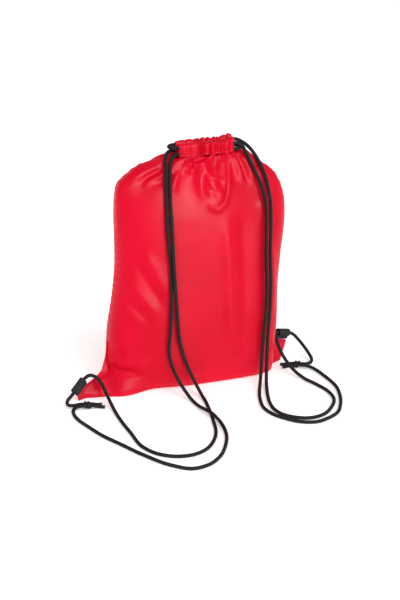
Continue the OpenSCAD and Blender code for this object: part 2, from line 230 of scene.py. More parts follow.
class NodeBench:
    """Lays out the shader nodes of one material."""

    def __init__(self, name: str) -> None:
        """Starts an empty material with a Principled shader.

        Args:
            name: The material's name.
        """
        self.material = bpy.data.materials.new(name)
        self.material.use_nodes = True
        self.tree = self.material.node_tree
        self.shader = self.tree.nodes["Principled BSDF"]
        self.coords = self.tree.nodes.new("ShaderNodeTexCoord")

    def link(self, source: bpy.types.NodeSocket, target: bpy.types.NodeSocket) -> None:
        """Joins two sockets."""
        self.tree.links.new(source, target)

    def math(self, operation: str, first: object, second: object = 0.0) -> bpy.types.NodeSocket:
        """Adds a Math node.

        Args:
            operation: The node's operation.
            first: A socket or a number.
            second: A socket or a number.

        Returns:
            The node's output socket.
        """
        node = self.tree.nodes.new("ShaderNodeMath")
        node.operation = operation
        for socket, value in zip(node.inputs, (first, second)):
            if isinstance(value, bpy.types.NodeSocket):
                self.link(value, socket)
            else:
                socket.default_value = value
        return node.outputs[0]

    def noise(self, scale: float, detail: float = 3.0, roughness: float = 0.55) -> bpy.types.NodeSocket:
        """Adds noise on Object coordinates.

        Args:
            scale: Noise scale per metre.
            detail: Octaves.
            roughness: How strong the fine octaves are.

        Returns:
            The noise's value socket.
        """
        node = self.tree.nodes.new("ShaderNodeTexNoise")
        node.inputs["Scale"].default_value = scale
        node.inputs["Detail"].default_value = detail
        node.inputs["Roughness"].default_value = roughness
        self.link(self.coords.outputs["Object"], node.inputs["Vector"])
        return node.outputs["Fac"]

    def uv_axes(self) -> tuple[bpy.types.NodeSocket, bpy.types.NodeSocket]:
        """Splits the piece's UV map.

        Returns:
            The U and V sockets.
        """
        node = self.tree.nodes.new("ShaderNodeSeparateXYZ")
        self.link(self.coords.outputs["UV"], node.inputs[0])
        return node.outputs[0], node.outputs[1]

    def ramp(
        self, value: bpy.types.NodeSocket, low: tuple[float, ...], high: tuple[float, ...],
        start: float = 0.0, end: float = 1.0,
    ) -> bpy.types.NodeSocket:
        """Turns a value into a colour between two.

        Args:
            value: What drives the ramp.
            low: Colour at the ramp's start.
            high: Colour at its end.
            start: Where the low colour ends.
            end: Where the high colour begins.

        Returns:
            The colour socket.
        """
        node = self.tree.nodes.new("ShaderNodeValToRGB")
        first, last = node.color_ramp.elements
        first.position, last.position = start, end
        first.color, last.color = (*low, 1.0), (*high, 1.0)
        self.link(value, node.inputs[0])
        return node.outputs[0]

    def bump(self, height: bpy.types.NodeSocket, strength: float, depth: float) -> None:
        """Adds a bump layer under those already there.

        Args:
            height: The height socket.
            strength: Bump strength from 0 to 1.
            depth: Bump distance in metres.
        """
        node = self.tree.nodes.new("ShaderNodeBump")
        node.inputs["Strength"].default_value = strength
        node.inputs["Distance"].default_value = depth
        self.link(height, node.inputs["Height"])
        normal = self.shader.inputs["Normal"]
        if normal.is_linked:
            self.link(normal.links[0].from_socket, node.inputs["Normal"])
        self.link(node.outputs[0], normal)


@dataclass(frozen=True)
class WovenCloth:
    """Plain-woven polyester with a soft shine."""

    name: str
    base: tuple[float, float, float]
    deep: tuple[float, float, float]
    pitch: float = 0.0007
    roughness: float = 0.40
    sheen: float = 0.01
    specular: float = 0.07
    stretch: float = 0.65

    def build(self) -> bpy.types.Material:
        """Makes the material, whose UV map is in metres of cloth."""
        bench = NodeBench(self.name)
        shade = bench.noise(14.0, 4.0)
        bench.link(bench.ramp(shade, self.deep, self.base, 0.3, 0.62), bench.shader.inputs["Base Color"])
        across, along = bench.uv_axes()
        rate = math.pi / self.pitch
        warp = bench.math("ABSOLUTE", bench.math("SINE", bench.math("MULTIPLY", across, rate)))
        weft = bench.math("ABSOLUTE", bench.math("SINE", bench.math("MULTIPLY", along, rate)))
        over = bench.math("SINE", bench.math("MULTIPLY", bench.math("ADD", across, along), rate))
        raised_warp = bench.math("MULTIPLY", warp, bench.math("GREATER_THAN", over, 0.0))
        weave = bench.math("ADD", raised_warp, bench.math("MULTIPLY", weft, 0.6))
        bench.bump(weave, 0.35, 0.00012)
        bench.bump(bench.noise(95.0, 3.0, 0.6), 0.22, 0.0012)
        rough = bench.math("ADD", bench.math("MULTIPLY", bench.noise(40.0, 2.0), 0.16), self.roughness - 0.08)
        bench.link(rough, bench.shader.inputs["Roughness"])
        bench.shader.inputs["Sheen Weight"].default_value = self.sheen
        bench.shader.inputs["Sheen Roughness"].default_value = 0.4
        bench.shader.inputs["Sheen Tint"].default_value = (1.0, 0.55, 0.6, 1.0)
        bench.shader.inputs["Specular IOR Level"].default_value = self.specular
        bench.shader.inputs["Anisotropic"].default_value = self.stretch
        bench.shader.inputs["Anisotropic Rotation"].default_value = 0.25
        return bench.material


@dataclass(frozen=True)
class BraidedCord:
    """Round braid whose strands cross on the surface."""

    name: str
    base: tuple[float, float, float]
    # Lighter colour for the raised strands: painted highlight on their crests, while the base colour left in
    # the grooves between them is painted shade.
    crest_highlight: tuple[float, float, float]
    strand: float = 0.0032
    strands_round: int = 8

    def build(self) -> bpy.types.Material:
        """Makes the material, whose U runs along the cord in metres and V once round it."""
        bench = NodeBench(self.name)
        along, round_it = bench.uv_axes()
        forward = bench.math("MULTIPLY", along, math.tau / self.strand)
        turn = bench.math("MULTIPLY", round_it, math.tau * self.strands_round / 2)
        one = bench.math("SINE", bench.math("ADD", forward, turn))
        other = bench.math("SINE", bench.math("SUBTRACT", forward, turn))
        braid = bench.math("ABSOLUTE", bench.math("MULTIPLY", one, other))
        bench.bump(braid, 0.9, 0.0005)
        bench.bump(bench.noise(900.0, 2.0), 0.3, 0.0002)
        # Colour follows the braid's height: painted shade in the grooves between the strands, painted
        # highlight on their raised tops.
        bench.link(bench.ramp(braid, self.base, self.crest_highlight, 0.1, 0.95), bench.shader.inputs["Base Color"])
        bench.shader.inputs["Roughness"].default_value = 0.66
        bench.shader.inputs["Specular IOR Level"].default_value = 0.16
        return bench.material


@dataclass(frozen=True)
class RibbedWebbing:
    """Flat webbing with fine ribs across it."""

    name: str
    base: tuple[float, float, float]
    # Lighter colour for the raised ribs: painted highlight on their tops, while the base colour left in the
    # troughs between them is painted shade.
    crest_highlight: tuple[float, float, float]
    rib: float = 0.0013

    def build(self) -> bpy.types.Material:
        """Makes the material, whose U runs along the webbing and V across it, in metres."""
        bench = NodeBench(self.name)
        along, across = bench.uv_axes()
        rib = bench.math("ABSOLUTE", bench.math("SINE", bench.math("MULTIPLY", along, math.pi / self.rib)))
        yarn = bench.math("ABSOLUTE", bench.math("SINE", bench.math("MULTIPLY", across, math.pi / 0.0009)))
        ribs = bench.math("ADD", rib, bench.math("MULTIPLY", yarn, 0.4))
        bench.bump(ribs, 0.8, 0.0004)
        # Colour follows the ribs' height: painted shade in the troughs, painted highlight on the rib tops.
        bench.link(bench.ramp(ribs, self.base, self.crest_highlight, 0.1, 1.4), bench.shader.inputs["Base Color"])
        bench.shader.inputs["Roughness"].default_value = 0.7
        bench.shader.inputs["Specular IOR Level"].default_value = 0.16
        return bench.material


@dataclass(frozen=True)
class TwistedThread:
    """Sewing thread or a melted cord end: a plain fibre with fine grain."""

    name: str
    base: tuple[float, float, float]
    roughness: float = 0.5
    grain: float = 2500.0

    def build(self) -> bpy.types.Material:
        """Makes the material on Object coordinates."""
        bench = NodeBench(self.name)
        grain = bench.noise(self.grain, 2.0)
        light = tuple(min(1.0, c * 1.5 + 0.004) for c in self.base)
        bench.link(bench.ramp(grain, self.base, light, 0.35, 0.7), bench.shader.inputs["Base Color"])
        bench.bump(grain, 0.4, 0.0002)
        bench.shader.inputs["Roughness"].default_value = self.roughness
        return bench.material


RED_CLOTH = WovenCloth("red_cloth", base=(0.74, 0.0012, 0.025), deep=(0.64, 0.0006, 0.016))
# The second colour of the braid and of the webbing is painted highlight on their raised strands and ribs;
# their base colour in the grooves is painted shade.
BLACK_BRAID = BraidedCord("black_braid", base=(0.002, 0.002, 0.0023), crest_highlight=(0.011, 0.0105, 0.0115))
BLACK_WEBBING = RibbedWebbing("black_webbing", base=(0.003, 0.003, 0.0034), crest_highlight=(0.014, 0.014, 0.015))
RED_THREAD = TwistedThread("red_thread", base=(0.72, 0.003, 0.022))
BLACK_THREAD = TwistedThread("black_thread", base=(0.008, 0.008, 0.009))
MELTED_END = TwistedThread("melted_cord_end", base=(0.004, 0.004, 0.0045), roughness=0.28, grain=600.0)


@dataclass
class Finishes:
    """The bag's materials, each built once."""

    cloth: bpy.types.Material = field(default_factory=RED_CLOTH.build)
    braid: bpy.types.Material = field(default_factory=BLACK_BRAID.build)
    webbing: bpy.types.Material = field(default_factory=BLACK_WEBBING.build)
    thread: bpy.types.Material = field(default_factory=RED_THREAD.build)
    loop_thread: bpy.types.Material = field(default_factory=BLACK_THREAD.build)
    cord_end: bpy.types.Material = field(default_factory=MELTED_END.build)


def place(
    piece: bpy.types.Object, body: str, slot: str, material: bpy.types.Material, *nodes: str
) -> bpy.types.Object:
    """Dresses a finished piece and hands it to the frame.

    Args:
        piece: The finished piece.
        body: The body that it moves with.
        slot: Not used.
        material: Its material.
        nodes: CAD nodes that it stands for.

    Returns:
        The same piece.
    """
    piece.data.materials.clear()
    piece.data.materials.append(material)
    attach(piece, body)
    if nodes:
        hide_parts(*nodes)
    log.info("%s: %d faces", piece.name, len(piece.data.polygons))
    return piece


# ---- cords --------------------------------------------------------------------------


def unit(v: np.ndarray) -> np.ndarray:
    """A vector at length 1."""
    return v / max(float(np.linalg.norm(v)), 1e-12)


@dataclass
class Route:
    """A smooth line through given points."""

    points: np.ndarray

    def heading(self, i: int) -> np.ndarray:
        """The line's direction at one of its points."""
        if i == 0:
            return unit(self.points[1] - self.points[0])
        if i == len(self.points) - 1:
            return unit(self.points[-1] - self.points[-2])
        back = self.points[i] - self.points[i - 1]
        on = self.points[i + 1] - self.points[i]
        return unit(unit(back) * np.linalg.norm(on) + unit(on) * np.linalg.norm(back))

    def sample(self, step: float) -> np.ndarray:
        """Points along the line.

        Args:
            step: About how far apart they are, in metres.

        Returns:
            One row per point, from the first end to the last.
        """
        line = []
        for i in range(len(self.points) - 1):
            a, b = self.points[i], self.points[i + 1]
            size = float(np.linalg.norm(b - a))
            ha, hb = self.heading(i) * size, self.heading(i + 1) * size
            for t in np.arange(0, 1, 1 / max(1, round(size / step))):
                line.append(
                    (2 * t**3 - 3 * t * t + 1) * a + (3 * t * t - 2 * t**3) * b
                    + (t**3 - 2 * t * t + t) * ha + (t**3 - t * t) * hb
                )
        line.append(self.points[-1])
        return np.array(line)


def tube_piece(name: str, line: np.ndarray, radius: float, sides: int) -> bpy.types.Object:
    """A closed round tube along a line, its UV map along and round it.

    Args:
        name: The piece's name.
        line: Centre points, one row each.
        radius: The tube's radius in metres.
        sides: Faces round the tube.

    Returns:
        The tube.
    """
    ahead = np.gradient(line, axis=0)
    ahead /= np.linalg.norm(ahead, axis=1)[:, None]
    normal = unit(np.cross(ahead[0], (0.13, 0.21, 0.97)))
    turns = np.linspace(0.0, math.tau, sides + 1)
    run = run_along(line)
    points, uv = [], []
    for centre, way, far in zip(line, ahead, run):
        normal = unit(normal - way * float(normal @ way))
        side = np.cross(way, normal)
        for k, turn in enumerate(turns[:-1]):
            points.append(centre + radius * (math.cos(turn) * normal + math.sin(turn) * side))
    faces, corners = [], []
    for r in range(len(line) - 1):
        for k in range(sides):
            a, b = r * sides + k, r * sides + (k + 1) % sides
            faces.append((a, b, b + sides, a + sides))
            low, high = k / sides, (k + 1) / sides
            corners += [(run[r], low), (run[r], high), (run[r + 1], high), (run[r + 1], low)]
    last = (len(line) - 1) * sides
    faces += [tuple(range(sides))[::-1], tuple(range(last, last + sides))]
    corners += [(0.0, k / sides) for k in range(sides)][::-1]
    corners += [(run[-1], k / sides) for k in range(sides)]
    return mesh_piece(name, np.array(points), faces, np.array(corners))


@dataclass
class Knot:
    """An overhand knot that holds both ends of one cord, with its two loose ends."""

    side: Side
    at: Point
    turn: float
    tails: tuple[float, float]
    cord_radius: float = 0.00275
    spacing: float = 0.0028
    length: float = 0.014
    tip_radius: float = 0.00285
    tip_length: float = 0.003
    tip_round: float = 0.0011

    def _place(self, local: np.ndarray) -> np.ndarray:
        """Moves points from the knot's own frame, where the cords arrive along +x."""
        c, s = math.cos(self.turn), math.sin(self.turn)
        turned = local @ np.array([[c, s, 0.0], [-s, c, 0.0], [0.0, 0.0, 1.0]])
        return turned + np.array(self.at)

    def port(self, side: int, out: float = 0.0) -> np.ndarray:
        """Where a cord meets the knot, to one side of its middle, or a distance before it."""
        return self._place(np.array([[-out, side * self.spacing, 0.0]]))[0]

    def build(self, finishes: Finishes) -> list[bpy.types.Object]:
        """Makes the knot's wraps and loose ends and its melted tips.

        Args:
            finishes: The bag's materials.

        Returns:
            The knot and the tips.
        """
        name = self.side.name.lower()
        turns, steps = 1.85, 56
        coil = []
        for k in range(steps + 1):
            t = k / steps
            angle = math.tau * turns * t + 0.7
            lean = 0.9 * math.sin(math.tau * t)
            coil.append((
                0.0026 + (self.length - 0.0048) * t + 0.0014 * math.cos(angle),
                0.0046 * math.cos(angle) + 0.0003 * lean,
                0.0035 * math.sin(angle) + 0.0002 * lean,
            ))
        parts = [tube_piece(f"{name}_wrap", self._place(np.array(coil)), 0.0023, 12)]
        ends = []
        for port, (size, spread) in zip((-1, 1), zip(self.tails, (-0.0012, 0.0026))):
            local = np.array([
                (-0.0005, port * self.spacing, 0.0), (0.006, port * 0.0021, 0.0004),
                (self.length, port * self.spacing, -0.0002),
                (self.length + size * 0.5, port * self.spacing + spread * 0.4, -0.0022),
                (self.length + size, port * self.spacing + spread, -0.0034),
            ])
            line = Route(self._place(local)).sample(0.0012)
            parts.append(tube_piece(f"{name}_strand", line, self.cord_radius - 0.0001, 12))
            ends.append((line[-1], unit(line[-1] - line[-3])))
        activate(parts[0])
        for part in parts:
            part.select_set(True)
        bpy.ops.object.join()
        knot = parts[0]
        knot.name = f"{name}_overhand_knot"
        place(knot, "bag", "cord", finishes.braid, f"{name}_knot")
        return [knot, self._tips(ends, finishes)]

    def _tips(self, ends: list[tuple[np.ndarray, np.ndarray]], finishes: Finishes) -> bpy.types.Object:
        """Rounded melted tips over the loose ends.

        Args:
            ends: Place and direction of each loose end.
            finishes: The bag's materials.

        Returns:
            Both tips as one piece.
        """
        name = self.side.name.lower()
        tips = []
        for centre, way in ends:
            deselect()
            bpy.ops.mesh.primitive_cylinder_add(vertices=16, radius=self.tip_radius, depth=self.tip_length)
            tip = bpy.context.object
            bevel = tip.modifiers.new("round", "BEVEL")
            bevel.width, bevel.segments = self.tip_round, 3
            turn = Vector((0.0, 0.0, 1.0)).rotation_difference(Vector(way)).to_matrix().to_4x4()
            tip.matrix_world = Matrix.Translation(Vector(centre)) @ turn
            apply_modifiers(tip)
            settle(tip)
            tips.append(tip)
        activate(tips[0])
        tips[1].select_set(True)
        bpy.ops.object.join()
        tips[0].name = f"{name}_melted_tips"
        tips[0].data.polygons.foreach_set("use_smooth", [True] * len(tips[0].data.polygons))
        return place(tips[0], "bag", "cord_tip", finishes.cord_end, f"{name}_cord_tips")


REST = 2.8
TUNNEL = 9.5
LOW = 375
HIGH = 384

LEFT_KNOT = Knot(Side.LEFT, (-0.200, -0.055, 0.006), math.radians(-10), (0.018, 0.014))
RIGHT_KNOT = Knot(Side.RIGHT, (0.166, -0.027, 0.006), math.radians(156), (0.018, 0.014))

LEFT_WAY: list[Point] = [
    (-212.5, -58, 5), (-217.5, -64, 4), (-219, -73, 3), (-217, -91, REST), (-207, -120, REST),
    (-195, -150, REST), (-176, -184, REST), (-152, -226, REST), (-123, -265, REST),
    (-97, -283, REST), (-74, -280, REST), (-50, -262, REST), (-32, -234, REST), (-21, -206, 3),
    (-17.5, -180, 4.2), (-19, -162, 6.4), (-23, -145, 8.4), (-27.5, -127, 6.4), (-32, -108, 4),
    (-36, -88, 4.2), (-41, -70, 11), (-49, -60, 26), (-57, -57.5, 46), (-64, -59.5, 75),
    (-62, -60.5, 110), (-59, -60, 165), (-59, -58, 209), (-62.5, -54, 270), (-62, -46, 322),
    (-60.5, -38, 343), (-57, -28.5, 359.5), (-54, -17, 369.5), (-49, -4, 374.5),
    (-41.5, 6.5, LOW), (-34, TUNNEL, LOW), (-28, TUNNEL, LOW), (12, TUNNEL, LOW),
    (52, TUNNEL, LOW), (58, TUNNEL, LOW), (64.7, 6.7, LOW), (67.5, 0, LOW), (64.7, -6.7, LOW),
    (58, -TUNNEL, LOW), (52, -TUNNEL, LOW), (12, -TUNNEL, LOW), (-28, -TUNNEL, LOW),
    (-33, -TUNNEL, LOW), (-40, -12.5, 374), (-46, -19.5, 369.5), (-50.5, -28.5, 361),
    (-54, -39, 343), (-56, -46.5, 322), (-56, -55, 270), (-56, -63.8, 209), (-53, -63, 165),
    (-50, -61, 125), (-47, -60, 94), (-39, -58.5, 62), (-29, -59, 34), (-21, -65, 15),
    (-17.5, -77, 5.5), (-17, -94, 3.2), (-19, -115, REST), (-22, -138, REST), (-26, -162, REST),
    (-33, -193, REST), (-45, -217, REST), (-62, -236, REST), (-82, -245, REST),
    (-105, -244, REST), (-131, -229, REST), (-147, -203, REST), (-153, -155, REST),
    (-157, -110, 3), (-158, -80, 4.2), (-159, -60, 8.5), (-161.5, -46, 17), (-165.5, -35, 28),
    (-172, -26.5, 36), (-180.5, -21.5, 37.7), (-190, -23, 33), (-208, -32.5, 18),
    (-215, -36.3, 12.8), (-221.2, -41.3, 9), (-222, -47.8, 6.6), (-215.5, -51.6, 6),
]

RIGHT_WAY: list[Point] = [
    (178, -38.5, 5), (184, -50, 4), (188, -66, 3.2), (191.5, -86, REST), (193, -108, REST),
    (188, -136, REST), (176, -168, REST), (162, -190, REST), (143, -202, REST),
    (121, -208, REST), (99, -201, REST), (80, -184, REST), (67, -165, REST), (61, -142, REST),
    (64, -118, 3), (72, -92, 4.2), (79, -75, 8.5), (84.5, -63, 18), (88, -56, 34),
    (91, -54, 75), (95, -53, 120), (96, -53, 165), (93.5, -53.5, 210), (93.5, -52, 256),
    (93.5, -48.5, 292), (90.5, -43, 314), (86, -37.5, 331), (80.5, -31.5, 345),
    (76, -25.5, 357), (72, -19, 367.5), (66.5, -12.2, 379.5), (59, -9.8, 383.4),
    (52, -TUNNEL, HIGH), (46, -TUNNEL, HIGH), (12, -TUNNEL, HIGH), (-28, -TUNNEL, HIGH),
    (-34, -TUNNEL, HIGH), (-40.7, -6.7, HIGH), (-43.5, 0, HIGH), (-40.7, 6.7, HIGH),
    (-34, TUNNEL, HIGH), (-28, TUNNEL, HIGH), (12, TUNNEL, HIGH), (52, TUNNEL, HIGH),
    (58, TUNNEL, HIGH), (66, 8, 383), (74, 3.5, 379), (81.5, -3.5, 372.5), (88.3, -12.5, 362),
    (93.4, -21.2, 350), (97.2, -30, 337), (100, -39, 318), (101.5, -45, 300), (102, -49, 262),
    (101, -51, 215), (103, -51, 165), (102, -51.5, 120), (99.5, -51.5, 75), (98, -53, 40),
    (96, -57.5, 20), (92, -68, 8.5), (87, -84, 4), (80, -108, REST), (75, -132, REST),
    (74.5, -152, REST), (82, -172, REST), (97, -186, REST), (119, -194, REST),
    (140, -189, REST), (160, -171, REST), (174, -146, REST), (175, -124, REST), (166, -94, 3),
    (154, -70, 4.4), (146, -50, 9), (140, -35, 17), (135, -23, 27.5), (132, -15, 38),
    (130.8, -8, 48), (132.3, -0.5, 54.3), (138.1, 6.6, 52.5), (159.6, 16.1, 44.5),
    (169.8, 18.4, 38.5), (178, 15.5, 29), (185, 8, 19), (189.5, -3, 10.5), (189, -16, 6.6),
    (182, -26, 6),
]


@dataclass
class Drawcord:
    """One braided cord, from its knot round both hem sleeves and back to the same knot."""

    knot: Knot
    way: list[Point]
    first_port: int
    leads: tuple[float, float]
    radius: float = 0.00275
    line: np.ndarray = field(init=False)

    def __post_init__(self) -> None:
        """Joins the route's points to the knot and samples the line."""
        start, end = self.first_port, -self.first_port
        middle = [np.array(p) / 1000 for p in self.way]
        points = [self.knot.port(start), self.knot.port(start, self.leads[0]), *middle]
        points += [self.knot.port(end, self.leads[1]), self.knot.port(end)]
        self.line = Route(np.array(points)).sample(0.003)

    def build(self, finishes: Finishes, on_it: list[bpy.types.Object]) -> bpy.types.Object:
        """Args:
            finishes: The bag's materials.
            on_it: Not used.

        Returns:
            The cord.
        """
        name = self.knot.side.name.lower()
        cord = tube_piece(f"{name}_braided_cord", self.line, self.radius, 12)
        place(cord, "bag", "cord", finishes.braid, f"{name}_drawcord")
        return cord


# ---- the bag's form -----------------------------------------------------------------


FOLD_DEPTH = 1.35


@dataclass(frozen=True)
class Fold:
    """A ridge or a valley along a line on one panel, in millimetres of x and z."""

    line: Outline
    height: float
    width: float
    crisp: float = 2.0

    def lift(self, x: np.ndarray, z: np.ndarray) -> np.ndarray:
        """How far the fold moves the cloth outwards.

        Args:
            x: Where the cloth is across the bag, in metres.
            z: Its height, in metres.

        Returns:
            The lift in metres, the same shape as x.
        """
        points = np.array(self.line, float) / 1000
        run = run_along(points)
        best = np.full(x.shape, 9.0)
        along = np.zeros(x.shape)
        for i, (a, b) in enumerate(zip(points[:-1], points[1:])):
            step = b - a
            t = np.clip(((x - a[0]) * step[0] + (z - a[1]) * step[1]) / float(step @ step), 0, 1)
            away = np.hypot(x - a[0] - t * step[0], z - a[1] - t * step[1])
            near = away < best
            best = np.where(near, away, best)
            along = np.where(near, run[i] + t * (run[i + 1] - run[i]), along)
        share = along / run[-1]
        fade = smooth_step(share / 0.22) * smooth_step((1 - share) / 0.3)
        return FOLD_DEPTH * self.height / 1000 * fade * np.exp(-((best / (self.width / 1000)) ** self.crisp))


FRONT_FOLDS = [
    # the pouch under the neck: its rim, its hollow and the crease inside it
    Fold([(0, 309), (8, 299), (18, 297), (28, 306), (34, 323), (39, 343), (43, 370)], 5.0, 3.8),
    Fold([(-2, 374), (-7, 350), (-8, 328), (-3, 308)], 2.4, 5.0),
    Fold([(20, 372), (14, 348), (12, 328), (18, 308)], -5.4, 10.0, 3.0),
    Fold([(1, 356), (12, 343), (26, 336), (34, 338)], 2.8, 2.6),
    Fold([(2, 334), (12, 322), (24, 315)], 2.4, 2.6),
    # the smile-shaped pull under the hem
    Fold([(-32, 372), (-26, 363), (-12, 359), (2, 361), (12, 368)], 4.2, 3.2),
    Fold([(-30, 364), (-20, 355), (-6, 353), (2, 356)], -2.4, 4.0),
    # shoulders
    Fold([(-36, 370), (-61, 367), (-81, 358), (-100, 348), (-114, 338)], 3.2, 4.5),
    Fold([(-40, 364), (-63, 359), (-84, 350), (-98, 340)], -2.6, 4.0),
    Fold([(-42, 360), (-63, 352), (-81, 346), (-94, 336)], 3.2, 4.2),
    Fold([(-44, 354), (-62, 345), (-76, 337)], -2.0, 4.5),
    Fold([(-36, 356), (-44, 344), (-50, 326)], 2.4, 4.5),
    Fold([(48, 372), (55, 361), (59, 347), (62, 330)], 3.0, 4.5),
    Fold([(54, 370), (62, 357), (67, 343), (70, 326)], -2.6, 4.0),
    Fold([(62, 370), (70, 360), (76, 345), (79, 326)], 2.8, 4.5),
    Fold([(70, 366), (84, 356), (93, 343)], -2.2, 4.0),
    # soft pulls in the left half and above the corner
    Fold([(-98, 240), (-84, 214), (-70, 186), (-60, 162)], 2.6, 9.0),
    Fold([(-112, 226), (-96, 197), (-80, 171), (-66, 145)], -2.4, 8.0),
    Fold([(-124, 196), (-106, 170), (-90, 150), (-74, 128)], 2.2, 8.0),
    Fold([(-130, 172), (-116, 152), (-100, 136), (-84, 122)], -2.2, 6.5),
    Fold([(-146, 46), (-134, 40), (-118, 36), (-96, 34)], -3.0, 6.0),
    Fold([(-150, 58), (-134, 52), (-112, 50), (-84, 56)], 2.4, 8.0),
    Fold([(-148, 76), (-138, 71), (-126, 66)], -2.0, 5.0),
    # the bag's right face turns away along a soft upright ridge
    Fold([(26, 296), (32, 250), (36, 182), (38, 115), (44, 40)], 3.4, 12.0),
    Fold([(56, 300), (58, 250), (60, 182), (62, 100)], -3.4, 14.0),
    Fold([(84, 300), (96, 280), (108, 262)], 2.0, 6.0),
    Fold([(104, 246), (110, 199), (113, 150), (112, 96)], 2.0, 6.0),
    Fold([(96, 60), (108, 48), (120, 44)], -2.0, 6.0),
]

BACK_FOLDS = [
    Fold([(-26, 372), (-40, 356), (-58, 336), (-70, 310)], 3.6, 5.0),
    Fold([(-14, 372), (-20, 350), (-30, 322), (-34, 290)], -3.6, 6.0),
    Fold([(-2, 372), (-6, 348), (-10, 318), (-8, 286)], 4.0, 5.0),
    Fold([(14, 372), (12, 350), (10, 326), (14, 300)], -3.4, 5.5),
    Fold([(28, 372), (32, 348), (38, 322), (40, 292)], 3.8, 5.5),
    Fold([(42, 372), (54, 352), (66, 328), (74, 300)], -3.2, 6.0),
    Fold([(54, 370), (72, 354), (88, 334), (98, 308)], 3.4, 5.0),
    Fold([(-34, 368), (-60, 358), (-84, 344), (-102, 326)], 3.0, 5.0),
    Fold([(-90, 250), (-70, 214), (-58, 170), (-56, 130)], 2.6, 12.0),
    Fold([(-60, 240), (-44, 200), (-34, 150)], -2.2, 12.0),
    Fold([(60, 250), (70, 200), (66, 140), (56, 90)], 2.6, 12.0),
    Fold([(96, 230), (88, 190), (90, 140)], -2.2, 9.0),
    Fold([(-136, 60), (-112, 50), (-80, 56)], -2.6, 7.0),
    Fold([(118, 62), (96, 50), (70, 54)], -2.6, 7.0),
    Fold([(-20, 120), (10, 96), (40, 60)], 2.0, 14.0),
]


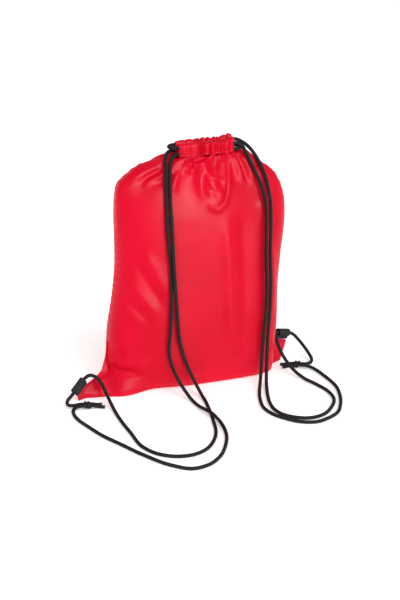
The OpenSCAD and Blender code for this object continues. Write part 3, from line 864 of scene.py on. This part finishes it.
@dataclass
class BagForm:
    """The stuffed bag's outer shape at every height, with its flattened corners."""

    half_width: float = 0.134
    height: float = 0.370
    front_bulge: float = 0.056
    back_bulge: float = 0.052
    columns: int = 96
    foot_rows: int = 7
    ear_layer: float = 0.0011
    left_turn: float = math.radians(28)
    right_turn: float = math.radians(24)
    left_ear: Outline = field(default_factory=lambda: [
        (0.0, 60), (9, 62.5), (23.7, 42.3), (27, 27), (34, 12), (47, 6), (62, 1.5), (80, 0)])
    right_ear: Outline = field(default_factory=lambda: [
        (0.0, 23), (9, 26), (20, 31), (34, 36.5), (41.7, 12.7), (46, 4), (58, 1), (70, 0)])
    shares: list[tuple[float, ...]] = field(default_factory=lambda: [
        (0.00, 1.10, 0.92, 0.61, 0.65, 1.5, 4.5), (0.03, 1.10, 0.92, 0.72, 0.77, 1.6, 4.0),
        (0.08, 1.10, 0.92, 0.84, 0.88, 1.9, 3.4), (0.16, 1.09, 0.94, 0.93, 0.96, 2.4, 3.0),
        (0.27, 1.07, 0.95, 0.98, 1.00, 2.6, 2.8), (0.40, 1.02, 0.96, 1.00, 1.00, 2.6, 2.6),
        (0.54, 0.98, 0.99, 0.98, 0.98, 2.6, 2.6), (0.68, 0.97, 1.03, 0.94, 0.94, 2.6, 2.6),
        (0.78, 0.97, 1.02, 0.88, 0.87, 2.6, 2.6), (0.85, 0.96, 0.96, 0.79, 0.77, 2.6, 2.6),
        (0.905, 0.93, 0.87, 0.68, 0.66, 2.6, 2.6), (0.945, 0.81, 0.73, 0.55, 0.54, 2.6, 2.6),
        (0.975, 0.69, 0.63, 0.44, 0.44, 2.7, 2.7), (0.992, 0.52, 0.54, 0.33, 0.34, 3.0, 3.0)])
    pull: float = 0.030
    pull_reach: float = 0.075
    pull_top: float = 0.048
    sewn_flat: float = 0.013
    sewn_top: float = 0.020

    def section(self, z: float) -> np.ndarray:
        """Left and right reach, front and back depth and both halves' squareness at a height."""
        table = np.array([
            (s[0] * self.height, s[1] * self.half_width, s[2] * self.half_width,
             s[3] * self.front_bulge, s[4] * self.back_bulge, s[5], s[6]) for s in self.shares
        ] + [(self.height, 0.034, 0.058, 0.0145, 0.0145, 4.0, 4.0)])
        i = int(np.clip(np.searchsorted(table[:, 0], z, side="right") - 1, 0, len(table) - 2))
        t = (z - table[i, 0]) / (table[i + 1, 0] - table[i, 0])
        p0, p1 = table[max(i - 1, 0)], table[i]
        p2, p3 = table[i + 1], table[min(i + 2, len(table) - 1)]
        return (0.5 * (2 * p1 + (p2 - p0) * t + (2 * p0 - 5 * p1 + 4 * p2 - p3) * t**2
                       + (3 * p1 - p0 - 3 * p2 + p3) * t**3))[1:]

    def drawn(self, x: np.ndarray, z: float) -> np.ndarray:
        """How far the plane of the seams is drawn towards the front at x and a height."""
        away = np.clip((x + 1.10 * self.half_width) / self.pull_reach, 0.0, 1.0)
        up = min(z / self.pull_top, 1.0)
        return -self.pull * (1 - away**2) ** 2 * (1 - up**2) ** 2

    def ear_ends(self, z: float) -> tuple[np.ndarray, np.ndarray]:
        """The outer ends of both flattened corners at a height, in plan."""
        ends = []
        for ear, side, turn, root in (
            (self.left_ear, -1, self.left_turn, -1.10 * self.half_width),
            (self.right_ear, 1, self.right_turn, 0.92 * self.half_width),
        ):
            heights, reach = np.array(ear, float).T / 1000
            out = float(np.interp(z, heights, reach))
            ends.append(np.array([root + side * out * math.cos(turn), side * out * math.sin(turn)]))
            if z > heights[-1]:
                s = self.section(z)
                ends[-1] = np.array([-s[0] if side < 0 else s[1], 0.0])
        return ends[0], ends[1]

    def row(self, facing: Facing, z: float, share: float) -> np.ndarray:
        """One row of cloth points from the left seam to the right one.

        Args:
            facing: Which panel.
            z: The row's height.
            share: Share of the full depth, under 1 beneath the bag.

        Returns:
            Evenly spaced points in plan, columns + 1 of them.
        """
        left, right, front, back, left_square, right_square = self.section(z)
        depth = (front if facing is Facing.FRONT else back) * share
        angle = np.linspace(math.pi, 0.0, 241)
        power = 2 / np.where(angle > math.pi / 2, left_square, right_square)
        x = (right - left) / 2 + (right + left) / 2 * np.sign(np.cos(angle)) * np.abs(np.cos(angle)) ** power
        y = facing.value * depth * np.sin(angle) ** power + self.drawn(x, z)
        body = np.stack([x, y], axis=1)
        tip_left, tip_right = self.ear_ends(z)
        start = self._flap(tip_left, body[0], z)
        finish = self._flap(tip_right, body[-1], z)[::-1]
        reach_left = np.linalg.norm(start - tip_left, axis=1)
        reach_right = np.linalg.norm(finish - tip_right, axis=1)
        start[:, 1] += facing.value * self.ear_layer * smooth_step(reach_left / 0.003)
        finish[:, 1] += facing.value * self.ear_layer * smooth_step(reach_right / 0.003)
        line = np.concatenate([start, body, finish])
        run = run_along(line)
        even = np.linspace(0.0, run[-1], self.columns + 1)
        plan = points_at(line, run, even)
        ease = float(smooth_step((0.080 - z) / 0.02))
        for _ in range(9):
            middle = (plan[4:-6] + 2 * plan[5:-5] + plan[6:-4]) / 4
            plan[5:-5] += ease * (middle - plan[5:-5])
        return plan

    def _flap(self, tip: np.ndarray, foot: np.ndarray, z: float) -> np.ndarray:
        """Points in plan from a flattened corner's edge to the body, flat where it is sewn.

        Args:
            tip: The corner's outer end.
            foot: Where the body begins.
            z: The row's height.

        Returns:
            The points, without the foot.
        """
        side = Side.LEFT if tip[0] < 0 else Side.RIGHT
        turn = self.left_turn if side is Side.LEFT else self.right_turn
        reach = np.linalg.norm(tip - np.array([foot[0], 0.0]))
        flat = self.sewn_flat + (0.2 * reach - self.sewn_flat) * smooth_step((z - self.sewn_top) / 0.008)
        flat = min(flat, 0.5 * reach)
        knee = tip - side.value * flat * np.array([math.cos(turn), math.sin(turn)])
        first = np.linspace(tip, knee, 13)[:-1]
        return np.concatenate([first, np.linspace(knee, foot, 13)[:-1]])

    def heights(self) -> list[tuple[float, float]]:
        """Height and depth share of every row, from the bottom seam to the hem."""
        rows = [(0.0008, k / self.foot_rows * 0.985) for k in range(self.foot_rows)]
        z = 0.0008
        while z < self.height - 0.0012:
            rows.append((z, 1.0))
            s, t = self.section(z), self.section(min(z + 0.001, self.height))
            slope = max(abs(t[0] - s[0]), abs(t[2] - s[2])) / 0.001
            z += (0.003 if z < 0.06 else 0.0042) / math.hypot(1.0, min(slope, 3.0) * 0.8)
        rows.append((self.height, 1.0))
        return rows

    def panel(self, facing: Facing) -> np.ndarray:
        """The panel's smooth points before its gathers and folds.

        Args:
            facing: Which panel.

        Returns:
            An array of rows by columns by 3, in metres.
        """
        out = []
        for z, share in self.heights():
            plan = self.row(facing, z, share)
            out.append(np.column_stack([plan, np.full(len(plan), z)]))
        return np.array(out)


def outward(grid: np.ndarray, facing: Facing) -> np.ndarray:
    """Unit directions out of a grid of cloth points.

    Args:
        grid: Rows by columns by 3.
        facing: Which panel it is.

    Returns:
        The same shape, one direction per point.
    """
    across = np.gradient(grid, axis=1)
    up = np.gradient(grid, axis=0)
    way = np.cross(across, up) * -facing.value
    size = np.linalg.norm(way, axis=2, keepdims=True)
    way = np.where(size > 1e-12, way / np.maximum(size, 1e-12), (0.0, facing.value, 0.0))
    return way


def gather(x: np.ndarray) -> np.ndarray:
    """The neck's pleats at x metres across it: crowded right of its middle, flatter left."""
    crowded = np.clip(x, 0.0, 0.036)
    phase = x / 0.0115 + crowded * 60.0 + 0.35 * np.sin(x / 0.0063) + 0.2 * np.sin(x / 0.0027)
    window = smooth_step((x + 0.010) / 0.014) * (1.0 - 0.45 * smooth_step((x - 0.034) / 0.010))
    return (0.38 + 0.62 * window) * (np.abs(np.cos(math.pi * phase)) ** 0.7 * 2 - 1.1)


@dataclass
class ClothBody:
    """Both panels of the bag: gathered, folded and sewn along their seams."""

    form: BagForm
    cords: list[np.ndarray]
    flat: tuple[float, float] = (0.34, 0.44)
    cord_room: float = 0.00335
    thickness: float = 0.0004
    hardest_push: float = 0.010
    grids: dict[Facing, np.ndarray] = field(init=False)

    def __post_init__(self) -> None:
        """Shapes, welds, clears and sews both panels."""
        self.grids = {facing: self._gathered(facing) for facing in Facing}
        self._weld()
        for facing in Facing:
            self._clear(facing)
        self._sew()

    def _gathered(self, facing: Facing) -> np.ndarray:
        """One panel with its gathers under the hem and its folds."""
        grid = self.form.panel(facing)
        way = outward(grid, facing)
        step = np.linalg.norm(np.diff(grid, axis=0), axis=2).mean(axis=1)
        under = np.concatenate([np.cumsum(step[::-1])[::-1], [0.0]])[:, None]
        t = np.linspace(0.0, 1.0, grid.shape[1])[None, :]
        seed = 3 if facing is Facing.FRONT else 11
        wobble = 0.35 * soft_noise(t * 0.5, under * 2.0, 0.16, seed)
        fine = gather(grid[-1:, :, 0])
        middle = np.sin(math.tau * (5.2 * t + 0.8 * wobble) + 1.0)
        coarse = np.sin(math.tau * (3.1 * t + 0.6 * wobble) + 2.2)
        lift = 0.0021 * fine * np.exp(-under / 0.019)
        lift = lift + 0.0026 * middle * np.exp(-(((under - 0.02) / 0.028) ** 2))
        lift = lift + 0.0026 * coarse * np.exp(-(((under - 0.055) / 0.05) ** 2))
        inside = smooth_step(np.minimum(t, 1 - t) / 0.05)
        x, z = grid[..., 0], grid[..., 2]
        lumps = soft_noise(x * 2.0, z * 0.8, 0.11, seed + 1)
        lift = lift + 0.0022 * lumps * smooth_step(under / 0.05)
        for fold in FRONT_FOLDS if facing is Facing.FRONT else BACK_FOLDS:
            lift = lift + fold.lift(x, z)
        lift *= inside * smooth_step(z / 0.02)
        return grid + way * lift[..., None]

    def _weld(self) -> None:
        """Gives the back panel the front one's points along the seams that they share."""
        front, back = self.grids[Facing.FRONT], self.grids[Facing.BACK]
        back[:, 0], back[:, -1], back[0] = front[:, 0], front[:, -1], front[0]

    def _clear(self, facing: Facing) -> None:
        """Keeps the cloth off the floor and pressed in under the cords."""
        grid = self.grids[facing]
        grid[..., 2] = np.maximum(grid[..., 2], 0.0008)
        way = outward(grid, facing)
        flat = grid.reshape(-1, 3)
        for line in self.cords:
            for begin in range(0, len(line), 60):
                part = line[begin:begin + 61]
                low, high = part.min(axis=0) - 0.012, part.max(axis=0) + 0.012
                near = np.flatnonzero(((flat > low) & (flat < high)).all(axis=1))
                if not len(near):
                    continue
                apart = flat[near][:, None, :] - part[None, :, :]
                distance = np.linalg.norm(apart, axis=2)
                k = distance.argmin(axis=1)
                gap = distance[np.arange(len(near)), k]
                side = apart[np.arange(len(near)), k]
                normal = way.reshape(-1, 3)[near]
                above = (side * normal).sum(axis=1)
                level = np.sqrt(np.maximum(gap**2 - above**2, 0.0))
                inside = np.maximum(self.cord_room**2 - level**2, 0.0)
                need = np.where(level < self.cord_room, np.sqrt(inside), -1.0)
                push = np.where(need >= 0, above + need, 0.0)
                soft = np.clip(push, 0.0, self.hardest_push)
                flat[near] -= normal * soft[:, None]
        self.grids[facing] = flat.reshape(grid.shape)

    def _sew(self) -> None:
        """Draws the two panels together along their side seams, with small puckers."""
        front, back = self.grids[Facing.FRONT], self.grids[Facing.BACK]
        run = run_along(front[:, 0])
        for column in (0, -1):
            middle = (front[:, column] + back[:, column]) / 2
            front[:, column] = back[:, column] = middle
        middle = (front[0] + back[0]) / 2
        front[0] = back[0] = middle
        body = smooth_step((front[:, :1, 2] - 0.05) / 0.02)
        for facing in Facing:
            grid = self.grids[facing]
            way = outward(grid, facing)
            for side in Side:
                order = slice(1, 7) if side is Side.LEFT else slice(-2, -8, -1)
                away = np.linalg.norm(grid[:, order] - grid[:, [0 if side is Side.LEFT else -1]], axis=2)
                seed = 5 * side.value + facing.value
                wave = np.sin(math.tau * run / 0.0125 + 2.2 * np.sin(run / 0.021 + seed))[:, None]
                strength = 0.0019 * (0.6 + 0.4 * np.sin(run / 0.034 + seed))[:, None]
                rise = strength * wave * np.exp(-away / 0.009) * body
                grid[:, order] += way[:, order] * rise[..., None]

    def build(self, facing: Facing, finishes: Finishes) -> bpy.types.Object:
        """Makes one panel as a thin sewn sheet.

        Args:
            facing: Which panel.
            finishes: The bag's materials.

        Returns:
            The panel.
        """
        grid = self.grids[facing]
        rows, columns = grid.shape[:2]
        up = np.concatenate([[0.0], np.cumsum(np.linalg.norm(np.diff(grid, axis=0), axis=2).mean(axis=1))])
        across = np.linspace(0.0, self.flat[0], columns)
        name = facing.name.lower()
        faces = grid_quads(rows, columns, facing is Facing.BACK)
        piece = mesh_piece(f"{name}_cloth_panel", grid.reshape(-1, 3), faces, uv_grid(across, up))
        thicken(piece, self.thickness, offset=-1.0, rounds=1)
        return place(piece, "bag", "cloth", finishes.cloth, f"{name}_panel")


@dataclass
class HemSleeve:
    """The turned-over top of one panel, gathered on both cords."""

    body: ClothBody
    facing: Facing
    ends: tuple[float, float] = (-0.0335, 0.0575)
    cord_top: float = 0.3876
    cloth_round: float = 0.06
    thickness: float = 0.0005
    columns: int = 200

    def _base(self) -> np.ndarray:
        """Evenly spaced points along the panel's sewn top edge, over the sleeve's run."""
        top = self.body.grids[self.facing][-1]
        run = run_along(top)
        fine = np.linspace(0.0, run[-1], 1600)
        line = points_at(top, run, fine)
        keep = (line[:, 0] > self.ends[0]) & (line[:, 0] < self.ends[1]) & (np.abs(line[:, 1]) > 0.009)
        line = line[keep]
        pick = np.linspace(0, len(line) - 1, self.columns + 1)
        return points_at(line, np.arange(len(line)), pick)

    def build(self, finishes: Finishes) -> list[bpy.types.Object]:
        """Makes the ruffled sleeve and the stitches that close it.

        Args:
            finishes: The bag's materials.

        Returns:
            The sleeve and its stitching.
        """
        f, base = self.facing.value, self._base()
        t = np.linspace(0.0, 1.0, len(base))
        seed = 21 if self.facing is Facing.FRONT else 31
        x = base[:, 0]
        wobble = soft_noise(x, x * 0.0, 0.03, seed)
        ruffle = gather(x)
        small = np.sin(math.tau * (15.0 * t + 0.9 * wobble))
        lift = 0.0007 * wobble + 0.0011 * ruffle - 0.0010 * smooth_step((x + 0.012) / 0.02)
        lift = lift + 0.0040 * smooth_step((x - 0.038) / 0.012)
        flare = 0.0010 * (np.exp(-t / 0.03) + np.exp(-(1 - t) / 0.03))
        rings = []
        outer = np.abs(base[:, 1])
        for y_share, z, bulge in self._outline():
            deep = np.where(y_share > 0, outer + (y_share - 1) * 0.0012, 0)
            inner = 0.0046 - 0.0012 * ruffle
            y = np.where(y_share > 0, deep + bulge * (0.0009 * ruffle + 0.0003 * small) + flare, inner)
            if y_share == 0:
                y = inner - 0.5 * flare
            elif y_share < 1:
                y = inner + (outer - inner) * y_share
            top = np.clip((z - 0.372) / 0.017, 0.0, 1.0)
            height = z + lift * top + 0.0008 * ruffle * top * (y_share > 0.2)
            height = np.maximum(height, min(z, self.cord_top))
            shear = 0.0010 * wobble * np.sin(math.pi * top)
            rings.append(np.stack([x + shear, f * y, height], axis=1))
        rings.append(rings[0])
        grid = np.array(rings)
        rows, columns = grid.shape[:2]
        uv = uv_grid(np.linspace(0, self.body.flat[0], columns), np.linspace(0, self.cloth_round, rows))
        name = self.facing.name.lower()
        faces = grid_quads(rows, columns, self.facing is Facing.BACK)
        sleeve = mesh_piece(f"{name}_hem_sleeve", grid.reshape(-1, 3), faces, uv)
        activate(sleeve)
        bpy.ops.object.mode_set(mode="EDIT")
        bpy.ops.mesh.select_all(action="SELECT")
        bpy.ops.mesh.remove_doubles(threshold=0.00001)
        bpy.ops.object.mode_set(mode="OBJECT")
        thicken(sleeve, self.thickness, rounds=1)
        place(sleeve, "bag", "cloth", finishes.cloth, f"{name}_hem_tunnel")
        stitches = self._stitches(grid[2], name, finishes)
        return [sleeve, stitches]

    @staticmethod
    def _outline() -> list[tuple[float, float, float]]:
        """The sleeve's cross-section: share of the way out, height and bulge of each point."""
        return [
            (1.0, 0.3700, 0.0), (1.0, 0.3712, 0.2), (1.02, 0.3730, 0.4), (1.06, 0.3752, 0.7),
            (1.10, 0.3780, 0.9), (1.10, 0.3808, 1.0), (1.06, 0.3834, 1.0), (1.0, 0.3858, 0.9),
            (0.90, 0.3878, 0.7), (0.72, 0.3892, 0.4), (0.50, 0.3898, 0.2), (0.28, 0.3892, 0.1),
            (0.10, 0.3878, 0.0), (0.0, 0.3850, 0.0), (0.0, 0.3815, 0.0), (0.0, 0.3780, 0.0),
            (0.0, 0.3745, 0.0), (0.10, 0.3722, 0.0), (0.35, 0.3712, 0.0), (0.70, 0.3706, 0.0),
        ]

    def _stitches(self, line: np.ndarray, name: str, finishes: Finishes) -> bpy.types.Object:
        """Short stitches along the sleeve's closing seam."""
        run = run_along(line)
        spots = []
        for start in np.arange(0.0015, run[-1] - 0.003, 0.0038):
            a, b = points_at(line, run, start), points_at(line, run, start + 0.0026)
            out = np.array([0.0, self.facing.value * 0.0003, 0.0])
            spots.append(((a + b) / 2 + out, unit(b - a)))
        piece = stitch_piece(f"{name}_hem_stitches", spots, 0.0028, 0.0003)
        return place(piece, "bag", "thread", finishes.thread, f"{name}_hem_stitching")


def stitch_piece(
    name: str, spots: list[tuple[np.ndarray, np.ndarray]], length: float, radius: float
) -> bpy.types.Object:
    """Copies one modelled stitch to many places.

    Args:
        name: The piece's name.
        spots: Middle and direction of each stitch.
        length: Length of a stitch in metres.
        radius: Radius of the thread in metres.

    Returns:
        All the stitches as one piece.
    """
    deselect()
    bpy.ops.mesh.primitive_cylinder_add(vertices=6, radius=radius, depth=length)
    stitch = bpy.context.object
    bevel = stitch.modifiers.new("round", "BEVEL")
    bevel.width, bevel.segments = radius * 0.55, 1
    apply_modifiers(stitch)
    points = np.array([v.co[:] for v in stitch.data.vertices])
    faces = [tuple(p.vertices) for p in stitch.data.polygons]
    spare = stitch.data
    bpy.data.objects.remove(stitch)
    bpy.data.meshes.remove(spare)
    all_points, all_faces = [], []
    for centre, way in spots:
        turn = np.array(Vector((0.0, 0.0, 1.0)).rotation_difference(Vector(way)).to_matrix())
        offset = len(all_points) * len(points)
        all_points.append(points @ turn.T + centre)
        all_faces += [tuple(i + offset for i in f) for f in faces]
    return mesh_piece(name, np.concatenate(all_points), all_faces)


@dataclass
class SeamAllowance:
    """A narrow strip of both panels' edges, turned inside along a seam."""

    body: ClothBody
    width: float = 0.008
    thickness: float = 0.0009
    from_seam: float = 0.0012
    foot_lift: float = 0.0016
    side_heights: tuple[float, float] = (0.062, 0.345)
    foot_span: tuple[float, float] = (-0.125, 0.105)

    def build(self, finishes: Finishes) -> list[bpy.types.Object]:
        """Makes the two side strips and the bottom strip.

        Args:
            finishes: The bag's materials.

        Returns:
            The three strips.
        """
        grid = self.body.grids[Facing.FRONT]
        strips = []
        for side, column in ((Side.LEFT, 0), (Side.RIGHT, -1)):
            edge = grid[:, column]
            edge = edge[(edge[:, 2] > self.side_heights[0]) & (edge[:, 2] < self.side_heights[1])]
            way = np.array([-side.value * 1.0, 0.0, 0.0])
            name = side.name.lower()
            strips.append(self._strip(f"{name}_side_allowance", edge, way, finishes, f"{name}_side_seam"))
        edge = grid[0]
        edge = edge[(edge[:, 0] > self.foot_span[0]) & (edge[:, 0] < self.foot_span[1])]
        edge = edge + np.array([0.0, 0.0, self.foot_lift])
        up = np.array([0.0, 0.0, 1.0])
        strips.append(self._strip("bottom_allowance", edge, up, finishes, "bottom_seam"))
        return strips

    def _strip(
        self, name: str, edge: np.ndarray, way: np.ndarray, finishes: Finishes, node: str
    ) -> bpy.types.Object:
        """One strip from a seam's points inwards."""
        steps = np.linspace(self.from_seam, self.width, 4)
        grid = np.array([edge + way * s for s in steps])
        rows, columns = grid.shape[:2]
        run = run_along(edge)
        uv = uv_grid(run, steps)
        piece = mesh_piece(name, grid.reshape(-1, 3), grid_quads(rows, columns, False), uv)
        thicken(piece, self.thickness)
        return place(piece, "bag", "cloth", finishes.cloth, node)


@dataclass
class CornerLoop:
    """Black webbing folded round the cord at a bottom corner, with its stitches."""

    side: Side
    root: Point
    turn: float
    slope: float
    middle: tuple[float, float]
    width: float = 0.025
    webbing: float = 0.0013
    bend: float = 5.5
    bend_middle: float = 10.9

    def _world(self, local: np.ndarray) -> np.ndarray:
        """Moves points from the sewn edge's frame, whose X runs along it and Z points out."""
        tilt = self.slope * self.side.value
        spin = self.turn
        c, s = math.cos(tilt), math.sin(tilt)
        tilted = local @ np.array([[c, 0, -s], [0, 1, 0], [s, 0, c]])
        tilted = tilted + np.array([self.side.value * self.middle[0], 0.0, self.middle[1]])
        c, s = math.cos(spin), math.sin(spin)
        return tilted @ np.array([[c, s, 0], [-s, c, 0], [0, 0, 1]]) + np.array(self.root)

    def build(self, finishes: Finishes) -> list[bpy.types.Object]:
        """Makes the loop and the two rows of stitches on each face of its corner.

        Args:
            finishes: The bag's materials.

        Returns:
            The loop and its stitching.
        """
        name = self.side.name.lower()
        half = [(-0.75, 0.5), (-0.75, 1.8), (-0.8, 3.2), (-1.3, 4.9), (-3.5, 6.6), (-5.0, 8.5)]
        turns = np.linspace(0, math.pi, 15)
        arc = [(-self.bend * math.cos(a), self.bend_middle + self.bend * math.sin(a)) for a in turns]
        profile = half + arc + [(-y, z) for y, z in half[::-1]]
        deselect()
        bpy.ops.mesh.primitive_plane_add(size=1.0)
        strap = bpy.context.object
        strap.name = f"{name}_webbing_loop"
        w = self.width / 2
        spots = np.array([(p[0] / 1000, p[1] / 1000) for p in profile])
        start = {(-1, -1): (-w, 0), (1, -1): (w, 0), (-1, 1): (-w, 1), (1, 1): (w, 1)}
        for vertex in strap.data.vertices:
            x, k = start[(int(math.copysign(1, vertex.co.x)), int(math.copysign(1, vertex.co.y)))]
            vertex.co = (x, spots[k][0], spots[k][1])
        bpy.ops.object.mode_set(mode="EDIT")
        bpy.ops.mesh.select_all(action="DESELECT")
        bpy.ops.object.mode_set(mode="OBJECT")
        for edge in strap.data.edges:
            ends = [strap.data.vertices[i].co.z for i in edge.vertices]
            edge.select = all(abs(z - spots[1][1]) < 1e-6 for z in ends)
        for vertex in strap.data.vertices:
            vertex.select = bool(abs(vertex.co.z - spots[1][1]) < 1e-6)
        bpy.ops.object.mode_set(mode="EDIT")
        for a, b in zip(spots[1:-1], spots[2:]):
            bpy.ops.mesh.extrude_region_move(TRANSFORM_OT_translate={"value": (0.0, *(b - a))})
        bpy.ops.mesh.select_all(action="SELECT")
        bpy.ops.mesh.normals_make_consistent(inside=False)
        bpy.ops.object.mode_set(mode="OBJECT")
        self._map(strap, spots)
        thick = strap.modifiers.new("webbing", "SOLIDIFY")
        thick.thickness, thick.offset = self.webbing, 0.0
        soft = strap.modifiers.new("edges", "BEVEL")
        soft.width, soft.segments, soft.angle_limit = 0.0003, 2, math.radians(50)
        apply_modifiers(strap)
        points = np.array([v.co[:] for v in strap.data.vertices])
        strap.data.vertices.foreach_set("co", self._world(points).astype(np.float32).ravel())
        strap.data.update()
        activate(strap)
        bpy.ops.object.shade_smooth_by_angle(angle=math.radians(40))
        place(strap, f"{name}_loop", "webbing", finishes.webbing, f"{name}_corner_loop")
        return [strap, self._stitches(name, finishes)]

    @staticmethod
    def _map(strap: bpy.types.Object, spots: np.ndarray) -> None:
        """Lays the UV map along the webbing and across it, in metres."""
        run = run_along(spots)
        layer = strap.data.uv_layers.active or strap.data.uv_layers.new(name="UVMap")
        layer.name = "UVMap"
        for loop in strap.data.loops:
            co = strap.data.vertices[loop.vertex_index].co
            k = int(np.argmin(np.hypot(spots[:, 0] - co.y, spots[:, 1] - co.z)))
            layer.data[loop.index].uv = (run[k], co.x)

    def _stitches(self, name: str, finishes: Finishes) -> bpy.types.Object:
        """Two rows of stitches on each face of the corner, just inside its sewn edge."""
        spots = []
        along = self._world(np.array([[1.0, 0, 0]])) - self._world(np.array([[0.0, 0, 0]]))
        for face in (-1, 1):
            for row in (1, 2):
                for x in np.arange(-0.0105, 0.0106, 0.0042):
                    local = np.array([[x, face * 0.00125, -0.0025 * row]])
                    spots.append((self._world(local)[0], unit(along[0])))
        piece = stitch_piece(f"{name}_corner_stitches", spots, 0.003, 0.00035)
        return place(piece, "bag", "loop_thread", finishes.loop_thread, f"{name}_loop_stitching")


LOOPS = [
    (Side.LEFT, (-0.1474, 0.0, 0.0), 28, 36, (0.05239, 0.01635)),
    (Side.RIGHT, (0.12328, 0.0, 0.0), 24, 18, (0.02461, 0.03786)),
]


# ---- stage --------------------------------------------------------------------------


@dataclass
class Studio:
    """Plain pale floor, soft daylight studio and the camera."""

    azimuth: float = -18.0
    elevation: float = 24.0
    aim: Point = (-0.0024, -0.0225, 0.1402)
    distance: float = 2.4
    lens: float = 93.5
    sky: float = 0.55
    floor_glow: float = 0.36

    def build(self) -> None:
        """Sets the floor, the lights and the camera."""
        self._camera()
        self._floor()
        self._lights()

    def _camera(self) -> None:
        """A long-lens camera aimed at the bag."""
        camera = bpy.data.objects.new("camera", bpy.data.cameras.new("camera"))
        bpy.context.scene.collection.objects.link(camera)
        a, e = math.radians(self.azimuth), math.radians(self.elevation)
        back = Vector((math.sin(a) * math.cos(e), -math.cos(a) * math.cos(e), math.sin(e)))
        camera.location = Vector(self.aim) + back * self.distance
        camera.rotation_euler = back.to_track_quat("Z", "Y").to_euler()
        camera.data.lens, camera.data.sensor_width = self.lens, 36.0
        camera.data.clip_end = 60.0
        bpy.context.scene.camera = camera

    def _floor(self) -> None:
        """A wide white floor."""
        deselect()
        bpy.ops.mesh.primitive_plane_add(size=60.0)
        floor = bpy.context.object
        floor.name = "floor"
        bench = NodeBench("floor_paint")
        bench.shader.inputs["Base Color"].default_value = (0.96, 0.96, 0.96, 1.0)
        bench.shader.inputs["Roughness"].default_value = 0.9
        bench.shader.inputs["Specular IOR Level"].default_value = 0.1
        bench.shader.inputs["Emission Color"].default_value = (1.0, 1.0, 1.0, 1.0)
        bench.shader.inputs["Emission Strength"].default_value = self.floor_glow
        floor.data.materials.append(bench.material)

    def _lights(self) -> None:
        """Even sky light, a broad key, a weak side light and a card that only reflects."""
        world = bpy.data.worlds.new("studio")
        bpy.context.scene.world = world
        world.use_nodes = True
        world.node_tree.nodes["Background"].inputs["Color"].default_value = (1.0, 1.0, 1.0, 1.0)
        world.node_tree.nodes["Background"].inputs["Strength"].default_value = self.sky
        self._sun("key", (22.0, 48.0), 1.35, 38.0)
        self._sun("side", (-62.0, 30.0), 0.45, 50.0)
        card = self._sun("card", (14.0, 22.0), 11.0, 12.0)
        card.visible_diffuse = False
        bpy.context.scene.view_settings.view_transform = "Standard"

    @staticmethod
    def _sun(
        name: str, angles: tuple[float, float], strength: float, size: float
    ) -> bpy.types.Object:
        """Adds a soft sun.

        Args:
            name: The light's name.
            angles: Where it stands: azimuth from the front towards the right, and elevation.
            strength: Its strength.
            size: Its angular size in degrees.

        Returns:
            The light.
        """
        light = bpy.data.lights.new(name, "SUN")
        light.energy, light.angle = strength, math.radians(size)
        lamp = bpy.data.objects.new(name, light)
        bpy.context.scene.collection.objects.link(lamp)
        a, e = (math.radians(v) for v in angles)
        back = Vector((math.sin(a) * math.cos(e), -math.cos(a) * math.cos(e), math.sin(e)))
        lamp.rotation_euler = back.to_track_quat("Z", "Y").to_euler()
        return lamp


def main() -> None:
    """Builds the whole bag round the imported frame."""
    logging.basicConfig(level=logging.INFO, format="%(name)s %(message)s")
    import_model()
    Studio().build()
    finishes = Finishes()
    cords = [
        Drawcord(LEFT_KNOT, LEFT_WAY, -1, (0.005, 0.005)),
        Drawcord(RIGHT_KNOT, RIGHT_WAY, 1, (0.005, 0.007)),
    ]
    for cord in cords:
        cord.build(finishes, cord.knot.build(finishes))
    body = ClothBody(BagForm(), [cord.line for cord in cords])
    sleeves = {facing: HemSleeve(body, facing).build(finishes) for facing in Facing}
    for facing in Facing:
        panel = body.build(facing, finishes)
    SeamAllowance(body).build(finishes)
    for side, root, turn, slope, middle in LOOPS:
        CornerLoop(side, root, math.radians(turn), math.radians(slope), middle).build(finishes)


if __name__ == "__main__":
    main()
